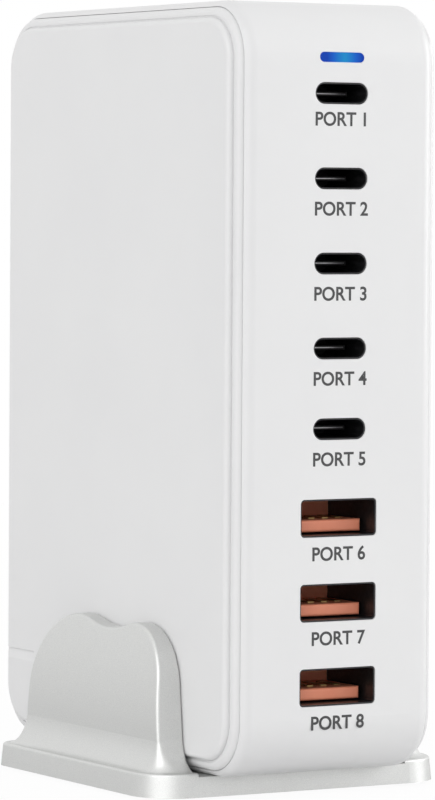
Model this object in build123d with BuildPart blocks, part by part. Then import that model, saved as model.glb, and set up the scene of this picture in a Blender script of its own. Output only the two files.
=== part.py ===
from build123d import *
import os
from math import asin, cos, degrees, radians, sin, sqrt, tan

# Desktop charger with eight USB ports: a slim moulded tower that stands in a saddle-shaped stand.
# The ports face -Y, the left side is -X, and the origin lies under the middle of the stand's feet.

# Tower: a belt that wraps front, top, rear and bottom, closed by two side covers
body_depth = 70.5
body_height = 110.4
belt_width = 31.8
corner_radius = 8.5
belt_edge_radius = 1.95
wall = 2.2
cover_seat = 0.9
seam_inset = 0.9
seam_gap = 0.08
rim_rise = 0.6
rim_edge_radius = 0.9
panel_rise = 1.45
panel_inset = 2.45
panel_edge_radius = 0.75
groove_width = 0.3
groove_depth = 0.15
lip_depth = 1.2
lip_thickness = 1.2
fit_clearance = 0.15
finger_groove_height = 1.6
finger_groove_length = 9.0
finger_groove_depth = 0.35
finger_groove_level = 12.0

# Stand: a drafted plate with a shallow channel and two scalloped wings
foot_proud = 0.5
foot_diameter = 8.0
foot_pocket_depth = 0.8
foot_edge_gap = 5.0
foot_edge_chamfer = 0.3
plate_width = 50.0
plate_depth = 49.0
plate_offset = -1.9
plate_front_corner = 6.8
plate_rear_corner = 3.5
plate_thickness = 3.4
plate_draft = 6.0
plate_edge_radius = 0.4
channel_depth = 0.5
channel_clearance = 0.1
wing_foot_thickness = 4.3
wing_top_thickness = 2.6
wing_height = 20.5
wing_lean = 6.0
wing_outer_radius = 0.5
wing_inner_radius = 0.4
front_hump_gap = 14.2
front_hump_radius = 8.7
rear_hump_gap = 17.9
rear_hump_radius = 13.0
dip_radius = 20.0
skirt_height = 5.0
skirt_sink = 0.03
skirt_margin = 0.3
skirt_merge = 0.03

# Ports, in one column on the front
lowest_port_level = 13.0
highest_port_drop = 13.05
fifth_port_lift = 0.6
usb_c_count = 5
usb_a_count = 3
light_width = 7.4
light_height = 1.45
light_above_port = 5.1

# Receptacles, which fill the ports and end just below the front
connector_length = 15.05
shell_recess = 0.15
shell_wall = 0.18
usb_c_shell_width = 8.7
usb_c_shell_height = 3.0
usb_c_tongue_width = 6.69
usb_c_tongue_thickness = 0.7
usb_c_tongue_recess = 3.75
usb_c_tongue_radius = 0.2
usb_c_block_length = 5.0
usb_a_shell_width = 12.6
usb_a_shell_height = 5.3
usb_a_shell_radius = 0.6
usb_a_tongue_width = 11.1
usb_a_tongue_thickness = 1.75
usb_a_tongue_gap = 0.45
usb_a_tongue_recess = 2.85
usb_a_tongue_radius = 0.35
usb_a_block_length = 2.5
contact_count = 4
contact_width = 1.0
contact_pitch = 2.25
contact_length = 5.0
contact_thickness = 0.15
contact_setback = 2.6
insert_clearance = 0.05

# Circuit boards and what holds them
board_thickness = 1.6
port_board_width = 24.0
board_gap = 0.35
board_edge_gap = 0.1
board_margin = 2.6
slot_rib_thickness = 1.2
slot_rib_height = 2.5
slot_rib_length = 18.0
slot_clearance = 0.1
rib_root = 0.3
post_height = 2.6
post_diameter = 5.0
post_inset = 4.0
screw_diameter = 2.4
screw_head_diameter = 4.4
screw_head_height = 1.5
screw_head_radius = 0.5
screw_clearance = 0.1
screw_tip_gap = 0.3
sheet_thickness = 0.4
sheet_corner = 2.5
spreader_thickness = 1.0
spreader_margin = 2.0
link_size = 2.5
link_length = 8.0

# Mains inlet at the foot of the rear wall
inlet_level = 16.6
inlet_nose_width = 17.4
inlet_nose_height = 9.8
inlet_flange_width = 20.4
inlet_flange_height = 12.8
inlet_flange_radius = 1.5
inlet_flange_thickness = 2.0
inlet_length = 16.0
inlet_recess_depth = 13.0
pin_pitch = 8.6
pin_diameter = 2.4
pin_tip_radius = 0.6
pin_length = 9.5
pin_tail = 2.5
socket_radius = 3.9
socket_waist = 5.6

# Power parts on the main board: width along the tower's depth, length upwards, height off the board
part_gap = 1.0
part_edge_radius = 0.8
x_capacitor_width = 7.0
x_capacitor_length = 15.0
x_capacitor_height = 13.0
choke_diameter = 11.5
choke_bore = 6.0
choke_height = 6.0
winding_cover = 1.1
winding_sector = 130.0
fuse_width = 4.0
fuse_length = 7.0
fuse_height = 7.5
varistor_diameter = 7.5
varistor_thickness = 3.8
disc_stand = 1.0
lead_width = 0.7
lead_thickness = 0.5
lead_pitch = 5.0
bulk_diameter = 13.0
bulk_length = 27.0
bulk_count = 3
can_edge_radius = 0.8
crimp_depth = 0.5
crimp_width = 1.0
crimp_level = 3.0
sink_thickness = 2.0
sink_height = 19.0
sink_flange = 4.0
transistor_count = 2
transistor_width = 10.0
transistor_thickness = 4.4
transistor_body = 9.0
transistor_height = 15.0
transistor_lead_pitch = 2.54
tab_thickness = 1.3
tab_hole_diameter = 3.6
tab_hole_drop = 2.8
lead_stand = 2.0
bridge_width = 14.0
bridge_height = 11.0
bridge_thickness = 3.5
bridge_corner = 2.0
bridge_lead_pitch = 3.5
magnetics_length = 23.0
transformer_width = 20.0
transformer_height = 20.0
inductor_width = 13.5
inductor_height = 17.0
core_leg = 2.3
coil_clearance = 0.3
coil_corner = 2.0
output_diameter = 8.0
output_height = 12.0
output_count = 3
suppressor_diameter = 7.0
suppressor_thickness = 3.5

# Small parts on the port board
buck_width = 6.4
buck_height = 4.0
buck_corner = 1.2
chip_size = 4.0
chip_height = 0.9
status_width = 4.0
status_height = 1.4
status_depth = 1.2
pipe_flange_margin = 1.0
pipe_flange_thickness = 1.0
pipe_air_gap = 0.2

os.makedirs("parts", exist_ok=True)

# Places that follow from the sizes
front_y = -body_depth / 2
rear_y = body_depth / 2
plate_top = foot_proud + plate_thickness
seat_z = plate_top - channel_depth
body_mid = seat_z + body_height / 2
inner_bottom = seat_z + wall
inner_top = seat_z + body_height - wall
inner_rear = rear_y - wall
belt_half = belt_width / 2
ledge_x = belt_half - cover_seat
rim_x = belt_half + rim_rise
panel_x = belt_half + panel_rise

port_pitch = (body_height - lowest_port_level - highest_port_drop) / (usb_c_count + usb_a_count - 1)
usb_a_levels = [seat_z + lowest_port_level + port_pitch * step for step in range(usb_a_count - 1, -1, -1)]
usb_c_levels = [usb_a_levels[0] + port_pitch * step for step in range(usb_c_count, 0, -1)]
usb_c_levels[-1] += fifth_port_lift
light_level = usb_c_levels[0] + light_above_port

mouth_y = front_y + shell_recess
port_board_front = mouth_y + connector_length
port_board_rear = port_board_front + board_thickness
port_board_middle = port_board_front + board_thickness / 2
board_face = -ledge_x + post_height + board_thickness
board_back = board_face - board_thickness
board_front = port_board_rear + board_gap
board_rear = inner_rear - board_margin
board_bottom = inner_bottom + board_margin
board_top = inner_top - board_margin
board_depth = board_rear - board_front
board_height = board_top - board_bottom
board_middle = ((board_front + board_rear) / 2, (board_bottom + board_top) / 2)
inlet_z = seat_z + inlet_level
inlet_inner = rear_y - inlet_length

front_plane = Plane.XZ.offset(-front_y)
mouth_plane = Plane.XZ.offset(-mouth_y)
port_board_front_plane = Plane.XZ.offset(-port_board_front)
port_board_rear_plane = Plane.XZ.offset(-port_board_rear)
rear_plane = Plane.XZ.offset(-rear_y)
board_plane = Plane.YZ.offset(board_face)


def keep(piece, name):
    piece.part.label = name
    export_step(piece.part, f"parts/{name}.step")


def body_outline(inset, mode=Mode.ADD):
    # The tower's side view, drawn in by a step
    with Locations((0, body_mid)):
        RectangleRounded(body_depth - 2 * inset, body_height - 2 * inset, corner_radius - inset, mode=mode)


def spread(start, end, sizes):
    # Middles of pieces laid in a line with equal gaps
    gap = (end - start - sum(sizes)) / (len(sizes) + 1)
    middles = []
    place = start
    for size in sizes:
        place += gap + size / 2
        middles.append(place)
        place += size / 2
    return middles


# Belt: front, top, rear and bottom walls moulded as one ring, with the ports cut through its front
with BuildPart() as housing_belt:
    with BuildSketch(Plane.YZ):
        body_outline(0)
        body_outline(wall, Mode.SUBTRACT)
    extrude(amount=belt_half, both=True)
    ring_ends = housing_belt.faces().filter_by(Axis.X)
    fillet([edge for end in ring_ends for edge in end.outer_wire().edges()], belt_edge_radius)
    with BuildSketch(Plane.YZ.offset(ledge_x), Plane.YZ.offset(-belt_half)):
        body_outline(seam_inset)
    extrude(amount=cover_seat, mode=Mode.SUBTRACT)
    # Slots at top and bottom that take the ends of the port board
    slot_width = board_thickness + 2 * slot_clearance
    for level, reach in ((inner_bottom - rib_root, 1), (inner_top + rib_root, -1)):
        with BuildSketch(Plane.XY.offset(level)):
            with Locations((0, port_board_middle)):
                Rectangle(slot_rib_length, slot_width + 2 * slot_rib_thickness)
        extrude(amount=reach * (slot_rib_height + rib_root))
    for level, reach in ((inner_bottom, 1), (inner_top, -1)):
        with BuildSketch(Plane.XY.offset(level)):
            with Locations((0, port_board_middle)):
                Rectangle(slot_rib_length, slot_width)
        extrude(amount=reach * slot_rib_height, mode=Mode.SUBTRACT)
    # Ports that the receptacles fill, and the window of the status light
    play = 2 * insert_clearance
    with BuildSketch(front_plane):
        with Locations([(0, level) for level in usb_c_levels]):
            SlotOverall(usb_c_shell_width + play, usb_c_shell_height + play)
        with Locations([(0, level) for level in usb_a_levels]):
            mouth = (usb_a_shell_width + play, usb_a_shell_height + play)
            RectangleRounded(*mouth, usb_a_shell_radius + insert_clearance)
        with Locations((0, light_level)):
            SlotOverall(light_width, light_height)
    extrude(amount=-2 * wall, mode=Mode.SUBTRACT)
    with BuildSketch(rear_plane):
        with Locations((0, inlet_z)):
            SlotOverall(inlet_nose_width + 2 * fit_clearance, inlet_nose_height + 2 * fit_clearance)
    extrude(amount=2 * wall, mode=Mode.SUBTRACT)
keep(housing_belt, "housing_belt")

# Side covers: a rim on the belt's ledge, a raised panel inside a fine groove, and a lip that locates it
lip_inset = wall + fit_clearance
with BuildPart() as right_cover:
    with BuildSketch(Plane.YZ.offset(ledge_x)):
        body_outline(seam_inset + seam_gap)
    extrude(amount=rim_x - ledge_x)
    fillet(right_cover.faces().sort_by(Axis.X)[-1].outer_wire().edges(), rim_edge_radius)
    with BuildSketch(Plane.YZ.offset(rim_x)):
        body_outline(panel_inset)
    extrude(amount=panel_x - rim_x)
    fillet(right_cover.faces().sort_by(Axis.X)[-1].outer_wire().edges(), panel_edge_radius)
    with BuildSketch(Plane.YZ.offset(rim_x)):
        body_outline(panel_inset - groove_width)
        body_outline(panel_inset, Mode.SUBTRACT)
    extrude(amount=-groove_depth, mode=Mode.SUBTRACT)
    with BuildSketch(Plane.YZ.offset(ledge_x)):
        body_outline(lip_inset)
        body_outline(lip_inset + lip_thickness, Mode.SUBTRACT)
    extrude(amount=-lip_depth)
    # A short finger groove at the panel's rear edge, which deepens upwards to a small step
    groove_foot = seat_z + finger_groove_level
    groove_head = groove_foot + finger_groove_height
    with BuildSketch(Plane.XZ.offset(panel_inset - rear_y)):
        with BuildLine():
            step = (panel_x - finger_groove_depth, groove_head)
            Polyline((panel_x, groove_foot), step, (panel_x, groove_head), close=True)
        make_face()
    extrude(amount=finger_groove_length, both=True, mode=Mode.SUBTRACT)
keep(right_cover, "right_cover")

post_places = [
    (y, z)
    for y in (board_front + post_inset, board_rear - post_inset)
    for z in (board_bottom + post_inset, board_top - post_inset)
]
with BuildPart() as left_cover:
    mirror(right_cover.part, about=Plane.YZ)
    with BuildSketch(Plane.YZ.offset(-ledge_x)):
        with Locations(post_places):
            Circle(post_diameter / 2)
            Circle(screw_diameter / 2 + screw_clearance, mode=Mode.SUBTRACT)
    extrude(amount=post_height)
keep(left_cover, "left_cover")

# Stand: one moulding, a drafted plate with a channel for the tower and a wing on each side
channel_half = panel_x + channel_clearance
plate_inset = plate_thickness * tan(radians(plate_draft)) + plate_edge_radius
plate_front = plate_offset - plate_depth / 2
plate_rear = plate_offset + plate_depth / 2
wing_top = plate_top + wing_height
lean = radians(wing_lean)
front_hump = Vector(plate_front + front_hump_gap, wing_top - front_hump_radius)
rear_hump = Vector(plate_rear - rear_hump_gap, wing_top - rear_hump_radius)
front_side = front_hump + Vector(-cos(lean), sin(lean)) * front_hump_radius
rear_side = rear_hump + Vector(cos(lean), sin(lean)) * rear_hump_radius

# The dip is an arc that touches both humps
front_reach = dip_radius + front_hump_radius
rear_reach = dip_radius + rear_hump_radius
span = rear_hump - front_hump
foot_point = (front_reach**2 - rear_reach**2 + span.length**2) / (2 * span.length)
upright = Vector(-span.Y, span.X).normalized()
dip_middle = front_hump + span.normalized() * foot_point + upright * sqrt(front_reach**2 - foot_point**2)
front_meet = front_hump + (dip_middle - front_hump) * (front_hump_radius / front_reach)
rear_meet = rear_hump + (dip_middle - rear_hump) * (rear_hump_radius / rear_reach)


def wing_ends(level):
    # Places of the wing's leaning front and rear sides at a level
    front = front_side.X - (front_side.Y - level) * tan(lean)
    rear = rear_side.X + (rear_side.Y - level) * tan(lean)
    return front, rear


def plate_outline(inset):
    # The plate's top view, drawn in by a step
    side = plate_width / 2 - inset
    front_corner = plate_front_corner - inset
    rear_corner = plate_rear_corner - inset
    FilletPolyline(
        (-side, plate_front + inset),
        (side, plate_front + inset),
        (side, plate_rear - inset),
        (-side, plate_rear - inset),
        radius=[front_corner, front_corner, rear_corner, rear_corner],
        close=True,
    )


# Skirt: sections that flare from the wing's foot to the plate's outline on a hollow curve
skirt_top = plate_top + skirt_height
skirt_foot = plate_top - skirt_sink
skirt_inset = plate_inset + skirt_margin
skirt_inner = channel_half + skirt_merge
skirt_outer = plate_width / 2 - skirt_inset
skirt_corner = min(plate_front_corner - skirt_inset, skirt_outer - skirt_inner - 2 * wing_inner_radius)
neck_outer = channel_half + wing_foot_thickness
front_flare = plate_front + skirt_inset - wing_ends(skirt_foot)[0]
rear_flare = plate_rear - skirt_inset - wing_ends(skirt_foot)[1]
section_angles = (0, 20, 40, 60, 90)
with BuildPart() as skirt:
    for angle in section_angles:
        flare = 1 - sin(radians(angle))
        level = skirt_top - (skirt_top - skirt_foot) * cos(radians(angle))
        front, rear = wing_ends(level)
        front += skirt_merge + front_flare * flare
        rear += rear_flare * flare - skirt_merge
        outer = neck_outer - skirt_merge + (skirt_outer - neck_outer) * flare
        front_radius = wing_outer_radius + (skirt_corner - wing_outer_radius) * flare
        rear_radius = wing_outer_radius + (plate_rear_corner - skirt_inset - wing_outer_radius) * flare
        with BuildSketch(Plane.XY.offset(level)):
            with BuildLine():
                FilletPolyline(
                    (skirt_inner, front),
                    (outer, front),
                    (outer, rear),
                    (skirt_inner, rear),
                    radius=[wing_inner_radius, front_radius, rear_radius, wing_inner_radius],
                    close=True,
                )
            make_face()
    loft()

with BuildPart() as wing:
    # Side view: leaning sides, round shoulders and a shallow dip between two humps
    front_foot, rear_foot = [(place, plate_top) for place in wing_ends(plate_top)]
    with BuildSketch(Plane.YZ):
        with BuildLine():
            Polyline(front_side, front_foot, rear_foot, rear_side)
            TangentArc(front_side, front_meet, tangent=(sin(lean), cos(lean)))
            ThreePointArc(front_meet, dip_middle - Vector(0, dip_radius), rear_meet)
            TangentArc(rear_side, rear_meet, tangent=(-sin(lean), cos(lean)))
        make_face()
    extrude(amount=plate_width / 2)
    # Front view: a flat inner face and a gently rounded outer face, upright where the skirt begins
    bulge = wing_foot_thickness - wing_top_thickness
    bulge_rise = wing_top - skirt_top
    bulge_radius = (bulge**2 + bulge_rise**2) / (2 * bulge)
    below = degrees(asin(skirt_height / bulge_radius))
    above = degrees(asin(bulge_rise / bulge_radius))
    with BuildSketch(Plane.XZ):
        with BuildLine():
            face = CenterArc((neck_outer - bulge_radius, skirt_top), bulge_radius, -below, below + above)
            Polyline(face @ 0, (channel_half, plate_top), (channel_half, wing_top), face @ 1)
        make_face()
    extrude(amount=plate_depth, both=True, mode=Mode.INTERSECT)
    above_plate = (Axis.Z, plate_top + insert_clearance, wing_top)
    outer_face = wing.faces().filter_by(GeomType.CYLINDER).sort_by(SortBy.AREA)[-1]
    fillet(outer_face.edges().filter_by_position(*above_plate), wing_outer_radius)
    inner_face = wing.faces().filter_by(Plane.YZ).sort_by(SortBy.AREA)[-1]
    fillet(inner_face.edges().filter_by_position(*above_plate), wing_inner_radius)
    add(skirt.part)
    with BuildSketch(Plane.XY.offset(skirt_foot)):
        with BuildLine():
            plate_outline(plate_inset)
        make_face()
    extrude(amount=wing_top - skirt_foot, mode=Mode.INTERSECT)

foot_spans = (
    plate_width - 2 * foot_edge_gap - foot_diameter,
    plate_depth - 2 * foot_edge_gap - foot_diameter,
)
with BuildPart() as stand:
    with BuildSketch(Plane.XY.offset(foot_proud)):
        with BuildLine():
            plate_outline(0)
        make_face()
    extrude(amount=plate_thickness, taper=plate_draft)
    fillet(stand.faces().sort_by(Axis.Z)[-1].edges(), plate_edge_radius)
    add(wing.part)
    mirror(wing.part, about=Plane.YZ)
    with BuildSketch(Plane.XY.offset(seat_z)):
        with Locations((0, plate_offset)):
            Rectangle(2 * channel_half, plate_depth)
    extrude(amount=channel_depth, mode=Mode.SUBTRACT)
    with BuildSketch(Plane.XY.offset(foot_proud)):
        with Locations((0, plate_offset)):
            with GridLocations(*foot_spans, 2, 2):
                Circle(foot_diameter / 2 + fit_clearance)
    extrude(amount=foot_pocket_depth, mode=Mode.SUBTRACT)
keep(stand, "stand")

# Rubber feet: four round pads pressed into the pockets under the plate
with BuildPart() as rubber_feet:
    with BuildSketch(Plane.XY):
        with Locations((0, plate_offset)):
            with GridLocations(*foot_spans, 2, 2):
                Circle(foot_diameter / 2)
    extrude(amount=foot_proud + foot_pocket_depth)
    chamfer(rubber_feet.edges().group_by(Axis.Z)[0], foot_edge_chamfer)
keep(rubber_feet, "rubber_feet")

# USB-C receptacles: a drawn steel shell around a thin tongue that grows out of its rear block
block_inset = 2 * (shell_wall + insert_clearance)
for number, level in enumerate(usb_c_levels, 1):
    with BuildPart() as usb_c_shell:
        with BuildSketch(mouth_plane):
            with Locations((0, level)):
                SlotOverall(usb_c_shell_width, usb_c_shell_height)
                bore = (usb_c_shell_width - 2 * shell_wall, usb_c_shell_height - 2 * shell_wall)
                SlotOverall(*bore, mode=Mode.SUBTRACT)
        extrude(amount=-connector_length)
    keep(usb_c_shell, f"usb_c_shell_{number}")

    with BuildPart() as usb_c_tongue:
        with BuildSketch(port_board_front_plane):
            with Locations((0, level)):
                SlotOverall(usb_c_shell_width - block_inset, usb_c_shell_height - block_inset)
        extrude(amount=usb_c_block_length)
        with BuildSketch(port_board_front_plane):
            with Locations((0, level)):
                Rectangle(usb_c_tongue_width, usb_c_tongue_thickness)
        extrude(amount=connector_length - usb_c_tongue_recess)
        fillet(usb_c_tongue.faces().sort_by(Axis.Y)[0].edges(), usb_c_tongue_radius)
    keep(usb_c_tongue, f"usb_c_tongue_{number}")

# USB-A receptacles: a folded steel shell, and a thick tongue low in the mouth with its contacts on top
tongue_drop = usb_a_shell_height / 2 - usb_a_tongue_gap - usb_a_tongue_thickness / 2
bore_radius = usb_a_shell_radius - shell_wall
for number, level in enumerate(usb_a_levels, 1):
    with BuildPart() as usb_a_shell:
        with BuildSketch(mouth_plane):
            with Locations((0, level)):
                RectangleRounded(usb_a_shell_width, usb_a_shell_height, usb_a_shell_radius)
                bore = (usb_a_shell_width - 2 * shell_wall, usb_a_shell_height - 2 * shell_wall)
                RectangleRounded(*bore, bore_radius, mode=Mode.SUBTRACT)
        extrude(amount=-connector_length)
    keep(usb_a_shell, f"usb_a_shell_{number}")

    with BuildPart() as usb_a_tongue:
        with BuildSketch(port_board_front_plane):
            with Locations((0, level)):
                block = (usb_a_shell_width - block_inset, usb_a_shell_height - block_inset)
                RectangleRounded(*block, bore_radius)
        extrude(amount=usb_a_block_length)
        with BuildSketch(port_board_front_plane):
            with Locations((0, level - tongue_drop)):
                Rectangle(usb_a_tongue_width, usb_a_tongue_thickness)
        extrude(amount=connector_length - usb_a_tongue_recess)
        fillet(usb_a_tongue.faces().sort_by(Axis.Y)[0].edges(), usb_a_tongue_radius)
    keep(usb_a_tongue, f"usb_a_tongue_{number}")

contact_y = mouth_y + usb_a_tongue_recess + contact_setback + contact_length / 2
with BuildPart() as usb_a_contacts:
    for level in usb_a_levels:
        with BuildSketch(Plane.XY.offset(level - tongue_drop + usb_a_tongue_thickness / 2)):
            with Locations((0, contact_y)):
                with GridLocations(contact_pitch, contact_length, contact_count, 1):
                    Rectangle(contact_width, contact_length)
        extrude(amount=contact_thickness)
keep(usb_a_contacts, "usb_a_contacts")

# Light pipe: a window flush with the front, a flange behind the wall and a stem that ends before the lamp
lamp_y = port_board_front - status_depth
with BuildPart() as pipe_stem:
    with BuildSketch(front_plane):
        with Locations((0, light_level)):
            SlotOverall(light_width - 2 * insert_clearance, light_height - 2 * insert_clearance)
    extrude(amount=front_y + pipe_air_gap - lamp_y)
    with BuildSketch(Plane.YZ):
        body_outline(0)
    extrude(amount=light_width, both=True, mode=Mode.INTERSECT)
with BuildPart() as light_pipe:
    with BuildSketch(front_plane):
        with Locations((0, light_level)):
            SlotOverall(light_width + 2 * pipe_flange_margin, light_height + 2 * pipe_flange_margin)
    extrude(amount=-wall - pipe_flange_thickness)
    with BuildSketch(Plane.YZ):
        body_outline(wall)
    extrude(amount=light_width, both=True, mode=Mode.INTERSECT)
    add(pipe_stem.part)
keep(light_pipe, "light_pipe")

with BuildPart() as status_light:
    with BuildSketch(port_board_front_plane):
        with Locations((0, light_level)):
            Rectangle(status_width, status_height)
    extrude(amount=status_depth)
keep(status_light, "status_light")

# Boards: one stands across behind the receptacles, one lies along the left cover on its posts
with BuildPart() as port_board:
    with BuildSketch(Plane.XY.offset(inner_bottom)):
        with Locations((0, port_board_middle)):
            Rectangle(port_board_width, board_thickness)
    extrude(amount=inner_top - inner_bottom - board_edge_gap)
keep(port_board, "port_board")

with BuildPart() as power_board:
    with BuildSketch(Plane.YZ.offset(board_back)):
        with Locations(board_middle):
            Rectangle(board_depth, board_height)
        with Locations(post_places):
            Circle(screw_diameter / 2 + screw_clearance, mode=Mode.SUBTRACT)
    extrude(amount=board_thickness)
keep(power_board, "power_board")

with BuildPart() as board_screws:
    with BuildSketch(board_plane):
        with Locations(post_places):
            Circle(screw_head_diameter / 2)
    extrude(amount=screw_head_height)
    fillet(board_screws.edges().group_by(Axis.X)[-1], screw_head_radius)
    with BuildSketch(board_plane):
        with Locations(post_places):
            Circle(screw_diameter / 2)
    extrude(amount=screw_tip_gap - board_thickness - post_height)
keep(board_screws, "board_screws")

with BuildPart() as insulating_sheet:
    with BuildSketch(Plane.YZ.offset(-ledge_x)):
        with Locations(board_middle):
            RectangleRounded(board_depth, board_height, sheet_corner)
        with Locations(post_places):
            Circle(post_diameter / 2 + fit_clearance, mode=Mode.SUBTRACT)
    extrude(amount=sheet_thickness)
keep(insulating_sheet, "insulating_sheet")

with BuildPart() as heat_spreader:
    with BuildSketch(Plane.YZ.offset(ledge_x)):
        body_outline(lip_inset + lip_thickness + spreader_margin)
    extrude(amount=-spreader_thickness)
keep(heat_spreader, "heat_spreader")

# Mains inlet: a flanged body in the rear wall with a figure-eight recess, and its two round pins
pin_places = [(-pin_pitch / 2, inlet_z), (pin_pitch / 2, inlet_z)]
with BuildPart() as inlet_body:
    with BuildSketch(rear_plane):
        with Locations((0, inlet_z)):
            SlotOverall(inlet_nose_width, inlet_nose_height)
    extrude(amount=inlet_length)
    with BuildSketch(Plane.XZ.offset(-inner_rear)):
        with Locations((0, inlet_z)):
            RectangleRounded(inlet_flange_width, inlet_flange_height, inlet_flange_radius)
    extrude(amount=inlet_flange_thickness)
    with BuildSketch(rear_plane):
        with Locations(pin_places):
            Circle(socket_radius)
        with Locations((0, inlet_z)):
            Rectangle(pin_pitch, socket_waist)
    extrude(amount=inlet_recess_depth, mode=Mode.SUBTRACT)
    with BuildSketch(rear_plane):
        with Locations(pin_places):
            Circle(pin_diameter / 2 + insert_clearance)
    extrude(amount=inlet_length, mode=Mode.SUBTRACT)
keep(inlet_body, "inlet_body")

pin_tip = rear_y - inlet_recess_depth + pin_length
with BuildPart() as inlet_pins:
    with BuildSketch(Plane.XZ.offset(-pin_tip)):
        with Locations(pin_places):
            Circle(pin_diameter / 2)
    extrude(amount=pin_tip - inlet_inner + pin_tail)
    fillet(inlet_pins.edges().group_by(Axis.Y)[-1], pin_tip_radius)
keep(inlet_pins, "inlet_pins")

# Rows of power parts, spread up the main board: filter, storage, switching, magnetics, output
choke_span = choke_diameter + 2 * winding_cover
choke_width = choke_height + 2 * winding_cover
filter_length = max(x_capacitor_length, choke_span, fuse_length + varistor_diameter + part_gap)
sink_length = sink_thickness + max(transistor_thickness, bridge_thickness)
output_length = max(output_diameter, suppressor_diameter)
row_lengths = [filter_length, bulk_length, sink_length, magnetics_length, output_length]
filter_z, bulk_z, sink_z, magnetics_z, output_z = spread(board_bottom, board_top, row_lengths)
head_reach = post_inset + screw_head_diameter / 2
row_front = port_board_rear + buck_height + part_gap
row_rear = board_rear - part_gap


def dipped_disc(name, y, z, diameter, thickness):
    # A dipped disc on two leads, standing on the main board
    with BuildPart() as disc:
        with BuildSketch(Plane.XZ.offset(-y)):
            with Locations((board_face + disc_stand + diameter / 2, z)):
                Circle(diameter / 2)
        extrude(amount=thickness / 2, both=True)
        fillet(disc.edges().filter_by(GeomType.CIRCLE), part_edge_radius)
        with BuildSketch(board_plane):
            with Locations((y, z)):
                with GridLocations(lead_pitch, lead_pitch, 1, 2):
                    Rectangle(lead_thickness, lead_width)
        extrude(amount=disc_stand + diameter / 2)
    keep(disc, name)


def rolled_can(name, origin, across, along, diameter, length):
    # A rolled can, turned about its own axis: a crimp near the sealed end and a rounded rim
    radius = diameter / 2
    crimp_start = (radius, crimp_level - crimp_width / 2)
    crimp_end = (radius, crimp_level + crimp_width / 2)
    rim_start = (radius, length - can_edge_radius)
    rim_end = (radius - can_edge_radius, length)
    with BuildPart() as can:
        with BuildSketch(Plane(origin=origin, x_dir=across, z_dir=Vector(across).cross(Vector(along)))):
            with BuildLine():
                Polyline(rim_end, (0, length), (0, 0), (radius, 0), crimp_start)
                ThreePointArc(crimp_start, (radius - crimp_depth, crimp_level), crimp_end)
                Line(crimp_end, rim_start)
                TangentArc(rim_start, rim_end, tangent=(0, 1))
            make_face()
        revolve(axis=Axis(origin, along))
    keep(can, name)


# Mains filter: fuse, surge varistor, film capacitor and a ring choke with two coils
filter_widths = [x_capacitor_width, choke_width, max(fuse_width, varistor_thickness)]
x_capacitor_y, choke_y, fuse_y = spread(board_front + head_reach, inlet_inner - pin_tail, filter_widths)
column = (filter_z - filter_length / 2, filter_z + filter_length / 2)
fuse_z, varistor_z = spread(*column, [fuse_length, varistor_diameter])
with BuildPart() as fuse:
    with BuildSketch(board_plane):
        with Locations((fuse_y, fuse_z)):
            Rectangle(fuse_width, fuse_length)
    extrude(amount=fuse_height)
    fillet(fuse.edges().group_by(Axis.X)[-1], part_edge_radius)
keep(fuse, "fuse")

dipped_disc("surge_varistor", fuse_y, varistor_z, varistor_diameter, varistor_thickness)

with BuildPart() as x_capacitor:
    with BuildSketch(board_plane):
        with Locations((x_capacitor_y, filter_z)):
            Rectangle(x_capacitor_width, x_capacitor_length)
    extrude(amount=x_capacitor_height)
    fillet(x_capacitor.edges().group_by(Axis.X)[-1], part_edge_radius)
keep(x_capacitor, "x_capacitor")

choke_section = (choke_diameter - choke_bore) / 2
half_sector = radians(winding_sector / 2)
choke_x = board_face + choke_span / 2 * sin(half_sector) + insert_clearance
with BuildPart() as choke_core:
    with BuildSketch(Plane.XZ.offset(-choke_y)):
        with Locations((choke_x, filter_z)):
            Circle(choke_diameter / 2)
            Circle(choke_bore / 2, mode=Mode.SUBTRACT)
    extrude(amount=choke_height / 2, both=True)
keep(choke_core, "choke_core")

# The ring stands on edge, and the lower ends of its two coils rest on the board
choke_middle = (choke_x, choke_y, filter_z)
with BuildPart() as choke_windings:
    for side in (1, -1):
        outward = Vector(-sin(half_sector), 0, side * cos(half_sector))
        with BuildSketch(Plane(choke_middle, x_dir=outward, z_dir=outward.cross(Vector(0, 1, 0)))):
            with Locations(((choke_bore + choke_section) / 2, 0)):
                Rectangle(choke_section + 2 * winding_cover, choke_width)
                gap = 2 * insert_clearance
                Rectangle(choke_section + gap, choke_height + gap, mode=Mode.SUBTRACT)
        revolve(axis=Axis(choke_middle, (0, side, 0)), revolution_arc=winding_sector)
keep(choke_windings, "choke_windings")

# Storage capacitors lie along the board
bulk_x = board_face + bulk_diameter / 2 + insert_clearance
for number, place in enumerate(spread(board_front, board_rear, [bulk_diameter] * bulk_count), 1):
    foot = (bulk_x, place, bulk_z - bulk_length / 2)
    rolled_can(f"bulk_capacitor_{number}", foot, (1, 0, 0), (0, 0, 1), bulk_diameter, bulk_length)

# Heat sink: a folded plate across the board, with the transistors and the bridge flat against it
sink_bottom = sink_z - sink_length / 2
sink_face = sink_bottom + sink_thickness
sink_top_x = board_face + sink_height
with BuildPart() as heat_sink:
    with BuildSketch(Plane.XZ.offset(-row_rear)):
        with BuildLine():
            Polyline(
                (board_face, sink_bottom),
                (sink_top_x - sink_thickness, sink_bottom),
                (sink_top_x - sink_thickness, sink_bottom - sink_flange),
                (sink_top_x, sink_bottom - sink_flange),
                (sink_top_x, sink_face),
                (board_face, sink_face),
                close=True,
            )
        make_face()
    extrude(amount=row_rear - row_front)
keep(heat_sink, "heat_sink")

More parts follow.
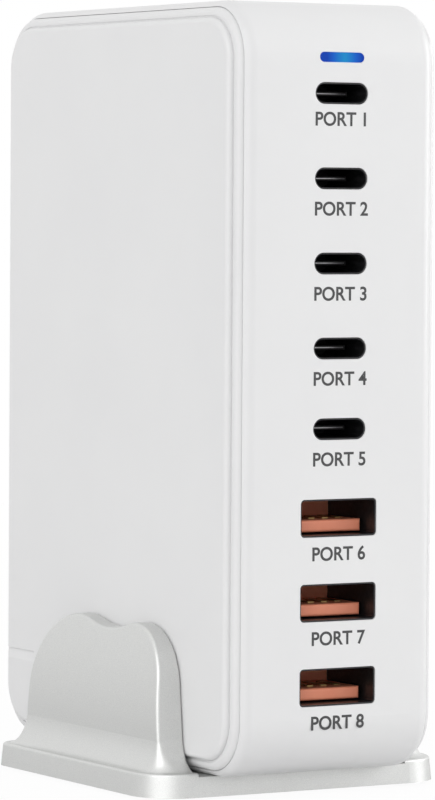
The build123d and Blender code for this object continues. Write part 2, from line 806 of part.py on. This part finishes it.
device_widths = [transistor_width] * transistor_count + [bridge_width]
device_places = spread(row_front, row_rear, device_widths)
device_foot = board_face + lead_stand
sink_plane = Plane.XY.offset(sink_face)
with BuildPart() as power_transistors:
    for place in device_places[:transistor_count]:
        with BuildSketch(sink_plane):
            with Locations((device_foot + transistor_height / 2, place)):
                Rectangle(transistor_height, transistor_width)
            with Locations((device_foot + transistor_height - tab_hole_drop, place)):
                Circle(tab_hole_diameter / 2, mode=Mode.SUBTRACT)
        extrude(amount=tab_thickness)
        with BuildSketch(sink_plane):
            with Locations((device_foot + transistor_body / 2, place)):
                Rectangle(transistor_body, transistor_width)
        extrude(amount=transistor_thickness)
        with BuildSketch(sink_plane.offset(tab_thickness)):
            with Locations((board_face + lead_stand / 2, place)):
                with GridLocations(lead_stand, transistor_lead_pitch, 1, 3):
                    Rectangle(lead_stand, lead_width)
        extrude(amount=lead_thickness)
keep(power_transistors, "power_transistors")

with BuildPart() as bridge_rectifier:
    with BuildSketch(sink_plane):
        with Locations((device_foot + bridge_height / 2, device_places[-1])):
            bridge_face = Rectangle(bridge_height, bridge_width)
        chamfer(bridge_face.vertices().group_by(Axis.X)[-1].sort_by(Axis.Y)[-1], bridge_corner)
    extrude(amount=bridge_thickness)
    with BuildSketch(sink_plane.offset(tab_thickness)):
        with Locations((board_face + lead_stand / 2, device_places[-1])):
            with GridLocations(lead_stand, bridge_lead_pitch, 1, 4):
                Rectangle(lead_stand, lead_width)
    extrude(amount=lead_thickness)
keep(bridge_rectifier, "bridge_rectifier")


# Transformer and boost inductor: a ferrite core of two E halves, with a coil on its middle leg
def wound_core(name, place, width, height):
    window = width / 2 - 2 * core_leg
    stack = magnetics_length - 2 * window
    with BuildPart() as core:
        with BuildSketch(Plane(origin=(board_face, place, magnetics_z), x_dir=(0, 1, 0), z_dir=(0, 0, -1))):
            with Locations((0, height / 2)):
                Rectangle(width, height)
                with GridLocations(window + 2 * core_leg, height, 2, 1):
                    Rectangle(window, height - 2 * core_leg, mode=Mode.SUBTRACT)
        extrude(amount=stack / 2, both=True)
    keep(core, f"{name}_core")
    with BuildPart() as winding:
        with BuildSketch(Plane.YZ.offset(board_face + core_leg + coil_clearance)):
            with Locations((place, magnetics_z)):
                coil_width = 2 * (window + core_leg - coil_clearance)
                coil_length = magnetics_length - 2 * coil_clearance
                RectangleRounded(coil_width, coil_length, coil_corner)
                leg = (2 * (core_leg + coil_clearance), stack + 2 * coil_clearance)
                Rectangle(*leg, mode=Mode.SUBTRACT)
        extrude(amount=height - 2 * (core_leg + coil_clearance))
    keep(winding, f"{name}_winding")


transformer_y, inductor_y = spread(row_front, row_rear, [transformer_width, inductor_width])
wound_core("transformer", transformer_y, transformer_width, transformer_height)
wound_core("pfc", inductor_y, inductor_width, inductor_height)

# Output row: capacitors that stand on the board, and the disc that bridges the two sides
output_widths = [output_diameter] * output_count + [suppressor_thickness]
output_places = spread(board_front + head_reach, board_rear - head_reach, output_widths)
for number, place in enumerate(output_places[:output_count], 1):
    foot = (board_face, place, output_z)
    rolled_can(f"output_capacitor_{number}", foot, (0, 1, 0), (1, 0, 0), output_diameter, output_height)

dipped_disc("y_capacitor", output_places[-1], output_z, suppressor_diameter, suppressor_thickness)

with BuildPart() as board_link:
    with BuildSketch(board_plane):
        with Locations((port_board_rear + link_size / 2, bulk_z)):
            Rectangle(link_size, link_length)
    extrude(amount=link_size)
keep(board_link, "board_link")

# One regulator for each port: its inductor behind the port board, its chip in front
port_levels = usb_c_levels + usb_a_levels
buck_x = port_board_width / 2 - board_edge_gap - buck_width / 2
chip_x = part_gap + chip_size / 2 - port_board_width / 2
for number, level in enumerate(port_levels, 1):
    with BuildPart() as buck_inductor:
        with BuildSketch(port_board_rear_plane):
            with Locations((buck_x, level)):
                RectangleRounded(buck_width, buck_width, buck_corner)
        extrude(amount=-buck_height)
    keep(buck_inductor, f"buck_inductor_{number}")

with BuildPart() as controller_chips:
    with BuildSketch(port_board_front_plane):
        with Locations([(chip_x, level) for level in port_levels]):
            Rectangle(chip_size, chip_size)
    extrude(amount=chip_height)
keep(controller_chips, "controller_chips")
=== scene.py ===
from math import radians

import bpy
from mathutils import Euler, Matrix, Vector


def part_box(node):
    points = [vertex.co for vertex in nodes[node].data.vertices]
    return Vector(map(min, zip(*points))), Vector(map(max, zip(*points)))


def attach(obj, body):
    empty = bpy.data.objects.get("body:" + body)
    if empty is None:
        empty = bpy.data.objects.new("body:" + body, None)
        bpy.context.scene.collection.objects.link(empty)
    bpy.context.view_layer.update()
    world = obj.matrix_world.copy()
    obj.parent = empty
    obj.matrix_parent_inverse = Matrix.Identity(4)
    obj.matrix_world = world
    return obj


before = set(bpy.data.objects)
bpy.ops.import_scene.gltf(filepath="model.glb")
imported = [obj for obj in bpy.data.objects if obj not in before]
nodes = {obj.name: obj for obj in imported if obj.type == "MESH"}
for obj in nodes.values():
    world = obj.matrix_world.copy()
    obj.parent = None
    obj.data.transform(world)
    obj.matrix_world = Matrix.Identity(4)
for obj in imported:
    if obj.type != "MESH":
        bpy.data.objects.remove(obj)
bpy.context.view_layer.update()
mm = 0.001


# Housing: a belt that wraps front, top, rear and bottom, and a cover on each side. All three are
# moulded in the same pearl white plastic, with a fine spark-eroded grain from the tool.
class Socket:
    """An output socket of a shader node, so that shader maths reads as plain arithmetic."""

    def __init__(self, tree, output=None):
        self.tree = tree
        self.output = output

    def node(self, kind, settings=None, inputs=None, output=0):
        made = self.tree.nodes.new(kind)
        for name, value in (settings or {}).items():
            if name == "stops":
                ramp = made.color_ramp.elements
                while len(ramp) < len(value):
                    ramp.new(1.0)
                for stop, (position, colour) in zip(ramp, value):
                    stop.position = position
                    stop.color = (*colour, 1.0)
            else:
                setattr(made, name, value)
        for name, value in (inputs or {}).items():
            if isinstance(value, Socket):
                self.tree.links.new(value.output, made.inputs[name])
            else:
                made.inputs[name].default_value = value
        return Socket(self.tree, made.outputs[output])

    def maths(self, operation, first, second):
        return self.node("ShaderNodeMath", {"operation": operation}, {0: first, 1: second})

    def __add__(self, other):
        return self.maths("ADD", self, other)

    def __sub__(self, other):
        return self.maths("SUBTRACT", self, other)

    def __rsub__(self, other):
        return self.maths("SUBTRACT", other, self)

    def __mul__(self, other):
        return self.maths("MULTIPLY", self, other)

    def __abs__(self):
        return self.maths("ABSOLUTE", self, 0.0)

    __radd__ = __add__
    __rmul__ = __mul__

    def feed(self, shader, name):
        self.tree.links.new(self.output, shader.inputs[name])


def new_finish(name, **constants):
    material = bpy.data.materials.new(name)
    material.use_nodes = True
    shader = material.node_tree.nodes["Principled BSDF"]
    for socket, value in constants.items():
        shader.inputs[socket.replace("_", " ")].default_value = value
    return material, shader, Socket(material.node_tree)


def object_place(start):
    return start.node("ShaderNodeTexCoord", output="Object")


def noise(start, size, detail=2.0):
    return start.node(
        "ShaderNodeTexNoise", inputs={"Vector": object_place(start), "Scale": 1 / size, "Detail": detail}
    )


def between(start, mask, dark, light):
    return start.node(
        "ShaderNodeValToRGB", {"stops": [(0.3, dark), (0.7, light)]}, {"Fac": mask}
    )


def grain(start, shader, height, depth, strength):
    bump = start.node(
        "ShaderNodeBump", inputs={"Strength": strength, "Distance": depth, "Height": height}
    )
    bump.feed(shader, "Normal")


def dress(material, *names):
    for name in names:
        for slot in nodes[name].material_slots:
            slot.material = material


pearl_white, shader, start = new_finish("pearl_white", Specular_IOR_Level=0.5)
between(start, noise(start, 22 * mm), (0.79, 0.79, 0.795), (0.81, 0.81, 0.812)).feed(shader, "Base Color")
(0.27 + 0.12 * noise(start, 1.5 * mm)).feed(shader, "Roughness")
grain(start, shader, noise(start, 0.14 * mm), 0.01 * mm, 0.22)
dress(pearl_white, "housing_belt", "left_cover", "right_cover")


# Stand: one moulding with a plate, a channel and two scalloped wings, sprayed with a fine silver paint
# whose metal flakes show as a faint sparkle.
silver_paint, shader, start = new_finish("silver_paint", Metallic=0.9)
between(start, noise(start, 0.12 * mm), (0.62, 0.625, 0.62), (0.72, 0.725, 0.71)).feed(shader, "Base Color")
(0.36 + 0.1 * noise(start, 3 * mm)).feed(shader, "Roughness")
grain(start, shader, noise(start, 0.1 * mm), 0.008 * mm, 0.2)
dress(silver_paint, "stand")


# Feet: four pads of matt black rubber, punched from sheet and pressed into the pockets under the plate.
foot_rubber, shader, start = new_finish("foot_rubber", Specular_IOR_Level=0.3)
blacks = ((0.018, 0.018, 0.018), (0.032, 0.032, 0.031))
between(start, noise(start, 0.6 * mm), *blacks).feed(shader, "Base Color")
(0.72 + 0.16 * noise(start, 0.8 * mm)).feed(shader, "Roughness")
grain(start, shader, noise(start, 0.2 * mm), 0.03 * mm, 0.4)
dress(foot_rubber, "rubber_feet")


# Status light: a clear window in the front wall, with a blue lamp behind it. The lamp lights the middle
# of the window, and the blue deepens towards its ends.
lamp_shift = 0.45 * mm
lamp_spread = 2.9 * mm
window_blue, shader, start = new_finish(
    "window_blue", Roughness=0.2, Specular_IOR_Level=0.08, Emission_Strength=1.0
)
shader.inputs["Base Color"].default_value = (0.004, 0.016, 0.06, 1.0)
across = start.node("ShaderNodeSeparateXYZ", inputs={"Vector": object_place(start)})
glow = 1 - abs(across - lamp_shift) * (1 / lamp_spread)
lamp_stops = [(0.0, (0.005, 0.04, 0.36)), (0.35, (0.007, 0.1, 0.5)), (0.95, (0.012, 0.24, 0.52))]
start.node("ShaderNodeValToRGB", {"stops": lamp_stops}, {"Fac": glow}).feed(shader, "Emission Color")
dress(window_blue, "light_pipe", "status_light")


# USB-C receptacles: a drawn steel shell with a black plating, and a black moulded tongue inside it.
port_numbers_c = range(1, 6)
black_plate, shader, start = new_finish("black_plate", Metallic=0.85)
plate_blacks = ((0.045, 0.045, 0.048), (0.065, 0.065, 0.068))
between(start, noise(start, 0.5 * mm), *plate_blacks).feed(shader, "Base Color")
(0.3 + 0.12 * noise(start, 0.9 * mm)).feed(shader, "Roughness")
dress(black_plate, *[f"usb_c_shell_{number}" for number in port_numbers_c])

black_moulding, shader, start = new_finish("black_moulding", Specular_IOR_Level=0.5)
moulding_blacks = ((0.012, 0.012, 0.013), (0.022, 0.022, 0.023))
between(start, noise(start, 0.8 * mm), *moulding_blacks).feed(shader, "Base Color")
(0.36 + 0.14 * noise(start, 0.5 * mm)).feed(shader, "Roughness")
grain(start, shader, noise(start, 0.12 * mm), 0.006 * mm, 0.2)
dress(black_moulding, *[f"usb_c_tongue_{number}" for number in port_numbers_c])


# Mid-plates: a strip of steel runs through the middle of each USB-C tongue, and its rolled edge shows at
# the tongue's tip. It is stamped, and the tongue is moulded round it.
tongue_width = 6.69 * mm
plate_side_inset = 0.35 * mm
plate_thickness = 0.24 * mm
plate_depth = 1.2 * mm
plate_proud = 0.05 * mm
plate_corner = 0.09 * mm
corner_steps = 3
smooth_angle = radians(40)

bright_steel, shader, start = new_finish("bright_steel", Metallic=1.0)
between(start, noise(start, 0.4 * mm), (0.5, 0.5, 0.51), (0.62, 0.62, 0.63)).feed(shader, "Base Color")
(0.26 + 0.14 * noise(start, 0.3 * mm)).feed(shader, "Roughness")

bpy.ops.object.select_all(action="DESELECT")
for number in port_numbers_c:
    tongue_low, tongue_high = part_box(f"usb_c_tongue_{number}")
    middle = ((tongue_low[0] + tongue_high[0]) / 2, tongue_low[1] - plate_proud + plate_depth / 2)
    bpy.ops.mesh.primitive_cube_add(size=1, location=(*middle, (tongue_low[2] + tongue_high[2]) / 2))
    plate = bpy.context.object
    plate.name = f"usb_c_mid_plate_{number}"
    plate.scale = (tongue_width - 2 * plate_side_inset, plate_depth, plate_thickness)
    bpy.ops.object.transform_apply(location=True, rotation=True, scale=True)
    rolled = plate.modifiers.new("rolled_edge", "BEVEL")
    rolled.width = plate_corner
    rolled.segments = corner_steps
    bpy.ops.object.modifier_apply(modifier=rolled.name)
    bpy.ops.object.shade_smooth_by_angle(angle=smooth_angle)
    plate.data.materials.append(bright_steel)
    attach(plate, "root")


# USB-A receptacles: a folded steel shell with a black plating, a thick tongue moulded in orange low in
# the mouth, and four plated contact strips on top of it.
port_numbers_a = range(1, 4)
dress(black_plate, *[f"usb_a_shell_{number}" for number in port_numbers_a])

orange_moulding, shader, start = new_finish("orange_moulding", Specular_IOR_Level=0.5)
between(start, noise(start, 2 * mm), (0.95, 0.32, 0.19), (0.98, 0.35, 0.21)).feed(shader, "Base Color")
(0.3 + 0.12 * noise(start, 0.6 * mm)).feed(shader, "Roughness")
grain(start, shader, noise(start, 0.12 * mm), 0.006 * mm, 0.2)
dress(orange_moulding, *[f"usb_a_tongue_{number}" for number in port_numbers_a])

gold_plate, shader, start = new_finish("gold_plate", Metallic=1.0)
between(start, noise(start, 0.5 * mm), (0.42, 0.28, 0.11), (0.52, 0.36, 0.15)).feed(shader, "Base Color")
(0.24 + 0.12 * noise(start, 0.4 * mm)).feed(shader, "Roughness")
dress(gold_plate, "usb_a_contacts")


# Port labels: a plain number under each port, pad printed on the front wall in dark grey ink.
label_size = 2.72 * mm
label_weight = 0.055 * mm
label_thickness = 0.012 * mm
label_drop_first = 3.75 * mm
label_drop_c = 4.4 * mm
label_drop_a = 5.2 * mm

label_ink, shader, start = new_finish("label_ink", Specular_IOR_Level=0.4)
between(start, noise(start, 0.3 * mm), (0.05, 0.05, 0.052), (0.075, 0.075, 0.077)).feed(shader, "Base Color")
(0.45 + 0.15 * noise(start, 0.4 * mm)).feed(shader, "Roughness")

front_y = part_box("housing_belt")[0][1]
label_places = [(f"usb_c_shell_{number}", label_drop_c) for number in port_numbers_c]
label_places[0] = ("usb_c_shell_1", label_drop_first)
label_places += [(f"usb_a_shell_{number}", label_drop_a) for number in port_numbers_a]
for number, (shell, drop) in enumerate(label_places, 1):
    shell_low, shell_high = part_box(shell)
    level = (shell_low[2] + shell_high[2]) / 2 - drop
    bpy.ops.object.select_all(action="DESELECT")
    bpy.ops.object.text_add(location=(0, front_y, level), rotation=(radians(90), 0, 0))
    label = bpy.context.object
    label.name = f"port_label_{number}"
    label.data.body = f"PORT {number}"
    label.data.align_x = "CENTER"
    label.data.align_y = "CENTER"
    label.data.size = label_size
    label.data.offset = label_weight
    label.data.extrude = label_thickness
    bpy.ops.object.convert(target="MESH")
    label = bpy.context.object
    bpy.ops.object.transform_apply(location=True, rotation=True, scale=True)
    label.data.materials.clear()
    label.data.materials.append(label_ink)
    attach(label, "root")


# Circuit boards: glass-fibre sheet under green solder mask, one across behind the ports and one along the
# left cover, with the weave faintly raised.
board_green, shader, start = new_finish("board_green", Specular_IOR_Level=0.5)
weave = start.node(
    "ShaderNodeTexBrick", inputs={"Vector": object_place(start), "Scale": 1 / (2 * mm), "Mortar Size": 0.04},
    output="Fac",
)
between(start, noise(start, 4 * mm), (0.012, 0.09, 0.035), (0.02, 0.13, 0.05)).feed(shader, "Base Color")
(0.3 + 0.15 * weave).feed(shader, "Roughness")
grain(start, shader, weave, 0.03 * mm, 0.4)
dress(board_green, "port_board", "power_board")


# Board fixings: four steel screws through the main board, a sheet of insulating film under it, and a rolled
# aluminium spreader on the other cover.
dress(bright_steel, "board_screws")

film, shader, start = new_finish("insulating_film", Roughness=0.25)
between(start, noise(start, 12 * mm), (0.72, 0.68, 0.55), (0.8, 0.76, 0.64)).feed(shader, "Base Color")
dress(film, "insulating_sheet")

rolled_aluminium, shader, start = new_finish("rolled_aluminium", Metallic=1.0)
rolling = start.node(
    "ShaderNodeTexWave", {"bands_direction": "Y"},
    {"Vector": object_place(start), "Scale": 1 / (3 * mm), "Distortion": 3.0, "Detail": 3.0}, "Fac",
)
between(start, rolling, (0.66, 0.67, 0.68), (0.76, 0.77, 0.78)).feed(shader, "Base Color")
(0.3 + 0.15 * rolling).feed(shader, "Roughness")
dress(rolled_aluminium, "heat_spreader", "heat_sink")


# Mains inlet: a black moulded socket clipped into the rear wall, with two nickel plated pins. The same
# black moulding is on the boards, round the fuse, the chips and the block connector.
dress(black_moulding, "inlet_body", "fuse", "board_link")
dress(black_moulding, "bridge_rectifier", "power_transistors", "controller_chips")
dress(bright_steel, "inlet_pins")


# Wound parts: pressed ferrite cores, with coils of enamelled copper wire, and yellow tape over the
# transformer's.
ferrite, shader, start = new_finish("pressed_ferrite", Specular_IOR_Level=0.4)
between(start, noise(start, 0.4 * mm), (0.035, 0.035, 0.038), (0.07, 0.07, 0.075)).feed(shader, "Base Color")
(0.5 + 0.2 * noise(start, 0.5 * mm)).feed(shader, "Roughness")
dress(ferrite, "choke_core", "transformer_core", "pfc_core")
dress(ferrite, *[f"buck_inductor_{number}" for number in range(1, 9)])

copper_wire, shader, start = new_finish("copper_wire", Metallic=0.9)
turns_with_painted_shade = start.node(
    "ShaderNodeTexWave", {"bands_direction": "X"},
    {"Vector": object_place(start), "Scale": 1 / (3 * mm)}, "Fac",
)
# The copper colour is painted darker in the grooves between turns and lighter on their crowns. This is
# painted shade and painted highlight laid over the wire's own colour.
between(start, turns_with_painted_shade, (0.42, 0.16, 0.06), (0.72, 0.32, 0.14)).feed(shader, "Base Color")
(0.28 + 0.2 * turns_with_painted_shade).feed(shader, "Roughness")
grain(start, shader, turns_with_painted_shade, 0.2 * mm, 0.8)
dress(copper_wire, "choke_windings", "pfc_winding")

yellow_tape, shader, start = new_finish("yellow_tape", Roughness=0.3)
between(start, noise(start, 3 * mm), (0.78, 0.5, 0.05), (0.86, 0.6, 0.08)).feed(shader, "Base Color")
dress(yellow_tape, "transformer_winding", "x_capacitor")


# Capacitors: rolled aluminium cans, the large ones in a shrunk black sleeve, and two discs dipped in
# blue resin.
sleeve, shader, start = new_finish("black_sleeve", Roughness=0.28)
between(start, noise(start, 5 * mm), (0.012, 0.012, 0.02), (0.025, 0.025, 0.04)).feed(shader, "Base Color")
dress(sleeve, *[f"bulk_capacitor_{number}" for number in range(1, 4)])
dress(rolled_aluminium, *[f"output_capacitor_{number}" for number in range(1, 4)])

blue_resin, shader, start = new_finish("blue_resin", Roughness=0.24)
between(start, noise(start, 2 * mm), (0.02, 0.07, 0.3), (0.03, 0.1, 0.38)).feed(shader, "Base Color")
dress(blue_resin, "surge_varistor", "y_capacitor")


# Studio: a pale floor that runs out into a white surround, a large soft light to the left of the front, a
# small close one on the right, and a weak one above.
scene = bpy.context.scene
scene.view_settings.view_transform = "Standard"
ambient_level = 0.64


def ray(start, kind):
    return start.node("ShaderNodeLightPath", output=f"Is {kind} Ray")


world = bpy.data.worlds.new("studio")
world.use_nodes = True
scene.world = world
surround = world.node_tree.nodes["Background"]
surround.inputs["Color"].default_value = (1.0, 1.0, 1.0, 1.0)
start = Socket(world.node_tree)
shown = ray(start, "Camera") + ray(start, "Glossy") + ray(start, "Transmission")
(ambient_level + (1 - ambient_level) * shown).feed(surround, "Strength")

floor_size = 6.0
floor_tone = 0.85
white_start = 0.05
white_full = 0.6
near_white_share = 0.96
bpy.ops.object.select_all(action="DESELECT")
bpy.ops.mesh.primitive_plane_add(size=floor_size)
floor = bpy.context.object
floor.name = "floor"
pale_floor, shader, start = new_finish("pale_floor", Roughness=0.9, Specular_IOR_Level=0.1)
shader.inputs["Base Color"].default_value = (floor_tone, floor_tone, floor_tone, 1.0)
distance = start.node(
    "ShaderNodeVectorMath", {"operation": "LENGTH"}, {"Vector": object_place(start)}, "Value"
)
far = start.node(
    "ShaderNodeMapRange", inputs={"Value": distance, "From Min": white_start, "From Max": white_full}
)
seen_share = ray(start, "Camera") * (near_white_share + (1 - near_white_share) * far)
mirrored_share = (ray(start, "Glossy") + ray(start, "Transmission")) * far
white = start.node("ShaderNodeEmission", inputs={"Strength": 1.0})
run_out = start.node("ShaderNodeMixShader", inputs={0: seen_share + mirrored_share, 2: white})
start.tree.links.new(shader.outputs["BSDF"], run_out.output.node.inputs[1])
start.tree.links.new(run_out.output, start.tree.nodes["Material Output"].inputs["Surface"])
floor.data.materials.append(pale_floor)

aim = Vector((0, 0, 55 * mm))
softboxes = [
    ("left_softbox", (-0.95, -0.65, 0.5), 1.3, 6.4),
    ("right_softbox", (0.45, -0.2, 0.2), 0.3, 1.0),
    ("top_softbox", (0.0, 0.2, 1.3), 0.8, 0.5),
]
for name, place, size, power in softboxes:
    bpy.ops.object.light_add(type="AREA", location=place)
    softbox = bpy.context.object
    softbox.name = name
    softbox.data.size = size
    softbox.data.energy = power
    softbox.rotation_euler = (aim - Vector(place)).to_track_quat("-Z", "Y").to_euler()


# Camera: a long lens a little above the middle of the tower, to the left of its front.
eye = (-341.469 * mm, -581.201 * mm, 84.953 * mm)
camera_yaw = radians(-30.479)
camera_pitch = radians(90 - 2.473)
camera_roll = radians(0.378)
sensor_width = 36.0
lens_length = 204.08
nearest_seen = 10 * mm
bpy.ops.object.camera_add(location=eye)
camera = bpy.context.object
turn = Euler((camera_pitch, 0, camera_yaw)).to_matrix() @ Matrix.Rotation(camera_roll, 3, "Z")
camera.rotation_euler = turn.to_euler()
camera.data.sensor_width = sensor_width
camera.data.lens = lens_length
camera.data.clip_start = nearest_seen
scene.camera = camera
